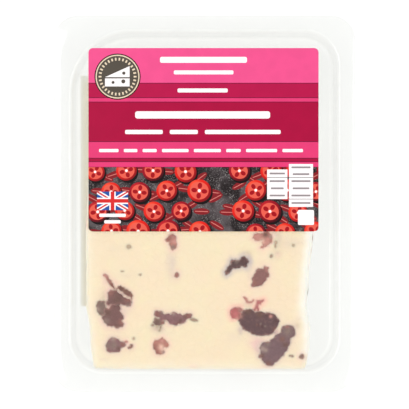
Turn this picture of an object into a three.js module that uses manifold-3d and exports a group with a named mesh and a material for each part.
// A retail pack of crumbly white cheese with cranberries, lying on its back.
//
// A clear thermoformed tray with a wide flange holds one slab of cheese. A flat clear film is sealed
// across the flange, a printed label sits on the film and a plain label on the tray's underside.
// Dried cranberry pieces show in the slab's cut faces, flush with them, each in a pocket of its own.
//
// Millimetres, +Z up. The origin is under the middle of the pack, on the surface that it lies on.
// +Y is the pack's top edge as it hangs or stands, and the printed face looks up.

import * as THREE from "three";
import { mergeVertices } from "three/addons/utils/BufferGeometryUtils.js";
import Module from "manifold-3d";

const wasm = await Module();
wasm.setup();

// ---- Driving dimensions ----

const PACK_WIDTH = 120;
const PACK_LENGTH = 150;
const FLANGE_CORNER_RADIUS = 9.6;
const FLANGE_SIDE = 7.1; // flange width left and right of the pocket
const FLANGE_TOP = 6.7;
const FLANGE_BOTTOM = 8.5;
const POCKET_CORNER_RADIUS = 13;
const PEEL_CORNER_RADIUS = 24; // the seal cuts this corner wider, so that the film can be gripped
const CORNER_STEPS = 8;

const SHEET = 0.5; // thickness of the tray's plastic
const FILM = 0.2;
const LABEL = 0.2;
const CONTACT_GAP = 0.1; // between flat sheets that lie on each other
const FOOD_GAP = 0.35; // between the cheese and the tray
const TRAY_TOP = 19.5;
const WALL_DRAFT = THREE.MathUtils.degToRad(3);
const RIM_RADIUS = 1.2;
const BASE_RADIUS = 1.8;
const FILLET_STEPS = 4;

const FRONT_LABEL = { width: 91.7, length: 73.1, x: -0.4, y: 25.5, cornerRadius: 1.8 };
const BACK_LABEL = { width: 91.7, length: 93.4, x: -4.35, y: 5.2, cornerRadius: 0.6 };

const CHEESE_LOW_END = -66.1;
const CHEESE_HIGH_END = 52;
const CHEESE_EDGE_RADIUS = 1.6;
const CHEESE_CELLS = { x: 11, y: 17, z: 4 };
const CUT_UNEVENNESS = 0.5; // how far the cut sides wander
const BERRY_GAP = 0.3;
const BERRY_DEPTH = 3.4; // how deep a piece goes into the cheese at most
const FINE_LOBE = 4.6; // half length from which a lobe gets smaller facets

// The slab's left and right edges as [y, x], from its low end to its high end.
const LEFT_EDGE = [[-66, -44.2], [-54, -45.8], [-38, -47.1], [-20, -47.5], [2, -47], [28, -45.4], [52, -44]];
const RIGHT_EDGE = [[-66, 40.2], [-54, 42.3], [-46, 41.6], [-39, 39.5], [-32, 41.2], [-12, 42.4], [52, 43]];

const TRAY_BOTTOM = LABEL + CONTACT_GAP;
const TRAY_FLOOR = TRAY_BOTTOM + SHEET;
const FILM_BOTTOM = TRAY_TOP + CONTACT_GAP;
const LABEL_BOTTOM = FILM_BOTTOM + FILM + CONTACT_GAP;
const CHEESE_BOTTOM = TRAY_FLOOR + FOOD_GAP;
const CHEESE_TOP = TRAY_TOP - FOOD_GAP;

// Cranberry pieces in the face under the film. A lobe is [x, y, half length, half width, turn in degrees].
const FACE_PIECES = {
  sliver: [[-37.9, -31, 3.5, 1, -55]],
  strip: [[-31.8, -35.4, 4.1, 1.35, -34]],
  shoulder: [[-35.5, -37.8, 3.2, 2.9, 0], [-32.2, -38.5, 3, 2, -10]],
  lump: [[-36.5, -45.4, 3.9, 3.8, 0], [-36, -42.2, 2.3, 1.9, 0]],
  wing: [[-40.9, -41.9, 3.4, 2, -74]],
  button: [[-36, -56.5, 3.2, 2.6, 0], [-33.1, -56.2, 1.3, 1.1, 0]],
  long: [
    [-11.5, -45.8, 3.9, 2.4, 0],
    [-15.3, -45, 2.4, 1.4, 0],
    [-18, -43.7, 1.8, 1.4, 0],
    [-6.9, -44.5, 2, 1.2, 15],
  ],
  pip: [[-18.3, -47.2, 1.7, 1.3, 0]],
  crescent: [
    [-19, -56.6, 1.7, 2.4, 0],
    [-17.8, -58.9, 2, 1.2, 0],
    [-17, -54.9, 1.9, 1.2, 0],
    [-15.2, -56.2, 1, 1.3, 0],
  ],
  cluster: [
    [21.3, -13.3, 2.1, 1.7, 0],
    [24.2, -12.9, 2.7, 1.7, 0],
    [24.5, -15.4, 1.9, 1.6, 0],
    [26.1, -14.2, 1.1, 1.5, 0],
  ],
  hook: [[10, -26.1, 2.5, 1.2, 50], [12.8, -24.1, 2.6, 1.9, 15], [15.9, -22.9, 1.8, 2.1, 0]],
  bean: [[22.2, -29.4, 4.4, 2.6, 58], [24.6, -25.9, 1.3, 1.1, 0]],
  whole: [[22, -47.5, 5.2, 5.3, 0], [17.8, -46.3, 4.2, 4.8, 0], [25.6, -47.8, 4.2, 4.7, 0]],
  nub: [[12.7, -43.8, 2.5, 2.2, 0]],
  club: [
    [33, -51.3, 2.9, 2.7, 0],
    [28.5, -57.3, 7.5, 3.7, 50],
    [24.2, -58.2, 2.1, 2.8, 0],
    [25.6, -62.4, 2.3, 2.1, 0],
  ],
  drop: [[-13.2, -13.9, 1.9, 1.5, 0], [-12.5, -16.1, 1.4, 2.3, 0]],
};
const RED_PIECES = ["nub", "crescent", "cluster", "drop"];

// Pieces in each of the slab's other faces that can be seen: their number and sizes.
const SIDE_PIECES = 4;
const END_PIECES = 3;
const UNDERSIDE_PIECES = 4;
const OTHER_PIECE_RADII = [1.7, 3.9];
const OTHER_PIECE_SPACING = 9; // between the middles of two pieces
const PIECE_TO_EDGE = 5; // from a piece's middle to the edge of the face that it is in
const SECOND_LOBE = 0.75; // its size and distance, next to the first
const SEED = 20;
const FACET_TOLERANCE = 0.05; // facets that stray less than this from each other are merged

const COLOURS = {
  plastic: 0xeef1ec,
  film: 0xf4f6f4,
  frontLabel: 0xc8265e,
  backLabel: 0xe9e8e2,
  cheese: 0xf6e6c3,
  berryDark: 0x4a2a30,
  berryRed: 0x9c4440,
};
const CLEAR = { roughness: 0.1, transparent: true, opacity: 0.25 };
const PAPER = { roughness: 0.4 };
const MOIST = { roughness: 0.55 };

// ---- Small helpers ----

/** The same stream of numbers from 0 to 1 on every run. */
function seededRandom(seed) {
  let state = seed;
  return () => {
    state = (state * 1664525 + 1013904223) % 4294967296;
    return state / 4294967296;
  };
}

/** Smooth lumps from -1 to 1 that never repeat within the pack. */
function lumps(x, y, z) {
  return (
    0.5 * Math.sin(0.31 * x + 0.23 * y + 1.3) +
    0.3 * Math.sin(0.83 * y - 0.71 * z + 2.1) +
    0.2 * Math.sin(1.37 * x + 1.09 * z - 1.7 * y)
  );
}

/** x at this y along an edge given as [y, x] points in order, eased from point to point. */
function edgeAt(edge, y) {
  const next = edge.findIndex(([height]) => height > y);
  if (next === 0) return edge[0][1];
  if (next < 0) return edge[edge.length - 1][1];
  const [y0, x0] = edge[next - 1];
  const [y1, x1] = edge[next];
  return THREE.MathUtils.lerp(x0, x1, THREE.MathUtils.smoothstep(y, y0, y1));
}

/** A manifold-3d solid from a closed three.js geometry. */
function toSolid(geometry) {
  const bare = new THREE.BufferGeometry().setAttribute("position", geometry.getAttribute("position"));
  bare.setIndex(geometry.index);
  const merged = mergeVertices(bare, 1e-3);
  const mesh = new wasm.Mesh({
    numProp: 3,
    vertProperties: merged.attributes.position.array,
    triVerts: new Uint32Array(merged.index.array),
  });
  return new wasm.Manifold(mesh);
}

/** A three.js geometry from the largest body of a manifold-3d solid. */
function toGeometry(solid) {
  const bodies = solid.simplify(FACET_TOLERANCE).decompose();
  const mesh = bodies.sort((a, b) => b.volume() - a.volume())[0].getMesh();
  const geometry = new THREE.BufferGeometry();
  geometry.setAttribute("position", new THREE.BufferAttribute(new Float32Array(mesh.vertProperties), 3));
  geometry.setIndex(new THREE.BufferAttribute(new Uint32Array(mesh.triVerts), 1));
  geometry.computeVertexNormals();
  return geometry;
}

function namedMesh(name, geometry, colour, finish = {}) {
  const material = new THREE.MeshStandardMaterial({ color: colour, roughness: 0.5, metalness: 0, ...finish });
  const mesh = new THREE.Mesh(geometry, material);
  mesh.name = name;
  return mesh;
}

// ---- Outlines seen from above ----

/** A rectangle with a radius for each corner, counter-clockwise from the low right corner. */
function roundedOutline({ left, right, low, high, radii }) {
  const corners = [
    [right, low, -1, 1, radii.lowRight],
    [right, high, -1, -1, radii.highRight],
    [left, high, 1, -1, radii.highLeft],
    [left, low, 1, 1, radii.lowLeft],
  ];
  return corners.flatMap(([x, y, inX, inY, radius], corner) => {
    const middle = new THREE.Vector2(x + inX * radius, y + inY * radius);
    return Array.from({ length: CORNER_STEPS + 1 }, (_, step) => {
      const angle = (corner - 1 + step / CORNER_STEPS) * (Math.PI / 2);
      return new THREE.Vector2(Math.cos(angle), Math.sin(angle)).multiplyScalar(radius).add(middle);
    });
  });
}

function evenRadii(radius) {
  return { lowRight: radius, highRight: radius, highLeft: radius, lowLeft: radius };
}

const PACK_EDGE = roundedOutline({
  left: -PACK_WIDTH / 2,
  right: PACK_WIDTH / 2,
  low: -PACK_LENGTH / 2,
  high: PACK_LENGTH / 2,
  radii: evenRadii(FLANGE_CORNER_RADIUS),
});

/** The pocket's box and corner radii, grown outwards by this much. */
function pocketBox(grown) {
  return {
    left: -PACK_WIDTH / 2 + FLANGE_SIDE - grown,
    right: PACK_WIDTH / 2 - FLANGE_SIDE + grown,
    low: -PACK_LENGTH / 2 + FLANGE_BOTTOM - grown,
    high: PACK_LENGTH / 2 - FLANGE_TOP + grown,
    radii: { ...evenRadii(POCKET_CORNER_RADIUS + grown), highLeft: PEEL_CORNER_RADIUS + grown },
  };
}

// ---- Tray ----

/** The tray's inner surface from the rim to the floor: how far out it is, its height and its normal. */
function traySection() {
  const rim = { out: RIM_RADIUS, z: TRAY_TOP - RIM_RADIUS };
  const wallTop = {
    out: rim.out - RIM_RADIUS * Math.cos(WALL_DRAFT),
    z: rim.z + RIM_RADIUS * Math.sin(WALL_DRAFT),
  };
  const baseZ = TRAY_FLOOR + BASE_RADIUS;
  const wallDrop = wallTop.z - (baseZ - BASE_RADIUS * Math.sin(WALL_DRAFT));
  const baseOut = wallTop.out - wallDrop * Math.tan(WALL_DRAFT) - BASE_RADIUS * Math.cos(WALL_DRAFT);
  const section = [];
  for (let step = 0; step <= FILLET_STEPS; step++) {
    const angle = THREE.MathUtils.lerp(0, Math.PI / 2 - WALL_DRAFT, step / FILLET_STEPS);
    const normal = { out: -Math.sin(angle), z: Math.cos(angle) };
    section.push({ out: rim.out + RIM_RADIUS * normal.out, z: rim.z + RIM_RADIUS * normal.z, normal });
  }
  for (let step = 0; step <= FILLET_STEPS; step++) {
    const angle = THREE.MathUtils.lerp(WALL_DRAFT, Math.PI / 2, step / FILLET_STEPS);
    const normal = { out: -Math.cos(angle), z: Math.sin(angle) };
    section.push({ out: baseOut - BASE_RADIUS * normal.out, z: baseZ - BASE_RADIUS * normal.z, normal });
  }
  return section;
}

const TRAY_SECTION = traySection();

/** How far out the pocket's inner wall is from the pocket's edge at this height, so mostly below zero. */
function wallAt(z) {
  const below = TRAY_SECTION.findIndex((point) => point.z <= z);
  if (below <= 0) return 0;
  const upper = TRAY_SECTION[below - 1];
  const lower = TRAY_SECTION[below];
  return THREE.MathUtils.mapLinear(z, upper.z, lower.z, upper.out, lower.out);
}

/** Stitches closed rings of equal length, the first and last closed by a fan to their middle. */
function shellFromRings(rings, closingHeights) {
  const count = rings[0].length;
  const positions = rings.flat(2);
  const index = [];
  for (let ring = 0; ring + 1 < rings.length; ring++) {
    for (let i = 0; i < count; i++) {
      const a = ring * count + i;
      const b = ring * count + ((i + 1) % count);
      index.push(a, b, a + count, b, b + count, a + count);
    }
  }
  const closeWithFan = (firstPoint, z, flipped) => {
    const middle = positions.length / 3;
    positions.push(0, 0, z);
    for (let i = 0; i < count; i++) {
      const pair = [firstPoint + i, firstPoint + ((i + 1) % count)];
      if (flipped) pair.reverse();
      index.push(...pair, middle);
    }
  };
  closeWithFan(0, closingHeights.first, true);
  closeWithFan((rings.length - 1) * count, closingHeights.last, false);
  const geometry = new THREE.BufferGeometry();
  geometry.setAttribute("position", new THREE.Float32BufferAttribute(positions, 3));
  geometry.setIndex(index);
  geometry.computeVertexNormals();
  return geometry;
}

function makeTray() {
  const ring = (outline, z) => outline.map(({ x, y }) => [x, y, z]);
  const inner = TRAY_SECTION.map(({ out, z }) => ring(roundedOutline(pocketBox(out)), z));
  const outer = TRAY_SECTION.map(({ out, z, normal }) =>
    ring(roundedOutline(pocketBox(out - SHEET * normal.out)), z - SHEET * normal.z),
  );
  const flangeEdge = [ring(PACK_EDGE, TRAY_TOP - SHEET), ring(PACK_EDGE, TRAY_TOP)];
  const rings = [...outer.toReversed(), ...flangeEdge, ...inner];
  const geometry = shellFromRings(rings, { first: TRAY_BOTTOM, last: TRAY_FLOOR });
  return namedMesh("tray", geometry, COLOURS.plastic, CLEAR);
}

// ---- Film and labels ----

function flatSheet(name, outline, thickness, bottom, colour, finish) {
  const shape = new THREE.Shape(outline);
  const geometry = new THREE.ExtrudeGeometry(shape, { depth: thickness, bevelEnabled: false });
  const mesh = namedMesh(name, geometry, colour, finish);
  mesh.position.z = bottom;
  return mesh;
}

function labelOutline({ width, length, x, y, cornerRadius }) {
  return roundedOutline({
    left: x - width / 2,
    right: x + width / 2,
    low: y - length / 2,
    high: y + length / 2,
    radii: evenRadii(cornerRadius),
  });
}

// ---- Cheese ----

/** Moves a point that is too near the pocket's wall back inside it, with the gap that the food keeps. */
function keptInPocket(point) {
  const box = pocketBox(Math.min(wallAt(point.z), 0) - FOOD_GAP);
  const toLeft = point.x < 0;
  const toLow = point.y < 0;
  const radius = box.radii[(toLow ? "low" : "high") + (toLeft ? "Left" : "Right")];
  const middle = new THREE.Vector2(
    toLeft ? box.left + radius : box.right - radius,
    toLow ? box.low + radius : box.high - radius,
  );
  const x = THREE.MathUtils.clamp(point.x, box.left, box.right);
  const y = THREE.MathUtils.clamp(point.y, box.low, box.high);
  const outward = new THREE.Vector2(x - middle.x, y - middle.y);
  const inCorner = (toLeft ? outward.x < 0 : outward.x > 0) && (toLow ? outward.y < 0 : outward.y > 0);
  if (inCorner && outward.length() > radius) {
    outward.setLength(radius);
    return new THREE.Vector3(middle.x + outward.x, middle.y + outward.y, point.z);
  }
  return new THREE.Vector3(x, y, point.z);
}

/** Where an even grid line falls, with the lines next to the two ends pulled in to carry the rounding. */
function gridLine(share, cells, half, radius) {
  const line = Math.round(share * cells);
  if (line === 0) return -half;
  if (line === cells) return half;
  return THREE.MathUtils.mapLinear(line, 1, cells - 1, radius - half, half - radius);
}

/** The slab without its cranberries: a block with rounded edges, warped to the outline it was cut to. */
function cheeseSlab() {
  const half = new THREE.Vector3(1, (CHEESE_HIGH_END - CHEESE_LOW_END) / 2, (CHEESE_TOP - CHEESE_BOTTOM) / 2);
  half.x = (edgeAt(RIGHT_EDGE, 0) - edgeAt(LEFT_EDGE, 0)) / 2;
  const inner = half.clone().subScalar(CHEESE_EDGE_RADIUS);
  const geometry = new THREE.BoxGeometry(1, 1, 1, CHEESE_CELLS.x, CHEESE_CELLS.y, CHEESE_CELLS.z);
  const position = geometry.attributes.position;
  for (let i = 0; i < position.count; i++) {
    const block = new THREE.Vector3().fromBufferAttribute(position, i).addScalar(0.5);
    for (const axis of ["x", "y", "z"]) {
      block[axis] = gridLine(block[axis], CHEESE_CELLS[axis], half[axis], CHEESE_EDGE_RADIUS);
    }
    const core = block.clone().clamp(inner.clone().negate(), inner);
    const rounded = block.clone().sub(core).setLength(CHEESE_EDGE_RADIUS).add(core);
    const side = Math.pow(Math.abs(rounded.x / half.x), 16) * Math.sign(rounded.x);
    const end = Math.pow(Math.abs(rounded.y / half.y), 16) * Math.sign(rounded.y);
    const y = rounded.y + (CHEESE_HIGH_END + CHEESE_LOW_END) / 2;
    const z = rounded.z + (CHEESE_TOP + CHEESE_BOTTOM) / 2;
    const across = (rounded.x + half.x) / (2 * half.x);
    const x = THREE.MathUtils.lerp(edgeAt(LEFT_EDGE, y), edgeAt(RIGHT_EDGE, y), across);
    const warped = new THREE.Vector3(
      x + CUT_UNEVENNESS * side * lumps(9, y, z),
      y + CUT_UNEVENNESS * end * lumps(x, 5, z),
      z,
    );
    position.setXYZ(i, ...keptInPocket(warped).toArray());
  }
  return toSolid(geometry).simplify(FACET_TOLERANCE);
}

// ---- Cranberry pieces ----

/** An uneven ellipsoid. `grown` adds to each half size, for the pocket that the lobe lies in. */
function lobe({ centre, halfSizes, turn, grown }) {
  const detail = Math.max(...halfSizes) > FINE_LOBE ? 2 : 1;
  const geometry = new THREE.IcosahedronGeometry(1, detail);
  const position = geometry.attributes.position;
  for (let i = 0; i < position.count; i++) {
    const point = new THREE.Vector3().fromBufferAttribute(position, i);
    const wrinkled = 1 + 0.14 * lumps(centre.x + 5 * point.x, centre.y + 5 * point.y, 6 * point.z);
    point.multiplyScalar(wrinkled);
    position.setXYZ(i, ...point.toArray());
  }
  const [x, y, z] = halfSizes.map((half) => half + grown);
  const placed = new THREE.Matrix4().makeRotationFromEuler(turn).setPosition(centre);
  geometry.scale(x, y, z).applyMatrix4(placed);
  return toSolid(geometry);
}

function fusedLobes(lobes, grown) {
  return lobes.map((part) => lobe({ ...part, grown })).reduce((whole, part) => whole.add(part));
}

/** Lobes of a piece in the face under the film, which cuts it through its middle. */
function facePiece(lobes) {
  return lobes.map(([x, y, halfLength, halfWidth, degrees]) => ({
    centre: new THREE.Vector3(x, y, CHEESE_TOP),
    halfSizes: [halfLength, halfWidth, Math.min(BERRY_DEPTH, 0.9 * halfLength)],
    turn: new THREE.Euler(0, 0, THREE.MathUtils.degToRad(degrees)),
  }));
}

/** The slab's other faces: their pieces' number, and a place for two shares from 0 to 1 along and across. */
function otherFaces() {
  const spread = (low, high) => (share) =>
    THREE.MathUtils.lerp(low + PIECE_TO_EDGE, high - PIECE_TO_EDGE, share);
  const x = spread(edgeAt(LEFT_EDGE, CHEESE_LOW_END), edgeAt(RIGHT_EDGE, CHEESE_LOW_END));
  const y = spread(CHEESE_LOW_END, CHEESE_HIGH_END);
  const yBelowLabel = spread(CHEESE_LOW_END, BACK_LABEL.y - BACK_LABEL.length / 2 + PIECE_TO_EDGE);
  const z = spread(CHEESE_BOTTOM, CHEESE_TOP);
  const side = (edge) => (u, v) => new THREE.Vector3(edgeAt(edge, y(u)), y(u), z(v));
  const end = (height) => (u, v) => new THREE.Vector3(x(u), height, z(v));
  return {
    left: { count: SIDE_PIECES, across: "x", place: side(LEFT_EDGE) },
    right: { count: SIDE_PIECES, across: "x", place: side(RIGHT_EDGE) },
    high: { count: END_PIECES, across: "y", place: end(CHEESE_HIGH_END) },
    low: { count: END_PIECES, across: "y", place: end(CHEESE_LOW_END + 1) },
    under: {
      count: UNDERSIDE_PIECES,
      across: "z",
      place: (u, v) => new THREE.Vector3(x(u), yBelowLabel(v), CHEESE_BOTTOM),
    },
  };
}

/** Two-lobed pieces scattered over those faces, apart from each other, as [name, lobes]. */
function otherPieces() {
  const random = seededRandom(SEED);
  const size = () => THREE.MathUtils.lerp(...OTHER_PIECE_RADII, random());
  const placed = [];
  for (const [face, { count, across, place }] of Object.entries(otherFaces())) {
    for (let made = 0; made < count; ) {
      const centre = place((made + random()) / count, random());
      if (placed.some(([, lobes]) => lobes[0].centre.distanceTo(centre) < OTHER_PIECE_SPACING)) continue;
      const halfSizes = [size(), size(), size()];
      const turn = new THREE.Euler();
      turn[across] = Math.PI * random();
      const beside = new THREE.Vector3(...halfSizes).multiplyScalar(SECOND_LOBE);
      beside[across] = 0;
      beside.applyEuler(turn);
      // The second lobe hangs down, so that it stays out of the face under the film.
      if (beside.z > 0) beside.negate();
      const second = {
        centre: centre.clone().add(beside),
        halfSizes: halfSizes.map((half) => SECOND_LOBE * half),
        turn,
      };
      made++;
      placed.push([`${face}_${made}`, [{ centre, halfSizes, turn }, second]]);
    }
  }
  return placed;
}

/** The cheese with its pockets, and the cranberry pieces that lie in them. */
function makeFood() {
  const facePieces = Object.entries(FACE_PIECES).map(([name, lobes]) => [name, facePiece(lobes)]);
  let cheese = cheeseSlab();
  const meshes = [];
  for (const [name, lobes] of [...facePieces, ...otherPieces()]) {
    // What is left of the cheese is the room for this piece, so it stays clear of the ones before it.
    const piece = fusedLobes(lobes, 0).intersect(cheese);
    cheese = cheese.subtract(fusedLobes(lobes, BERRY_GAP));
    const colour = RED_PIECES.includes(name) ? COLOURS.berryRed : COLOURS.berryDark;
    meshes.push(namedMesh("cranberry_" + name, toGeometry(piece), colour, MOIST));
  }
  return [namedMesh("cheese", toGeometry(cheese), COLOURS.cheese, MOIST), ...meshes];
}

// ---- The pack ----

const pack = new THREE.Group();
pack.add(
  makeTray(),
  flatSheet("lid_film", PACK_EDGE, FILM, FILM_BOTTOM, COLOURS.film, CLEAR),
  flatSheet("front_label", labelOutline(FRONT_LABEL), LABEL, LABEL_BOTTOM, COLOURS.frontLabel, PAPER),
  flatSheet("back_label", labelOutline(BACK_LABEL), LABEL, 0, COLOURS.backLabel, PAPER),
  ...makeFood(),
);

export default pack;
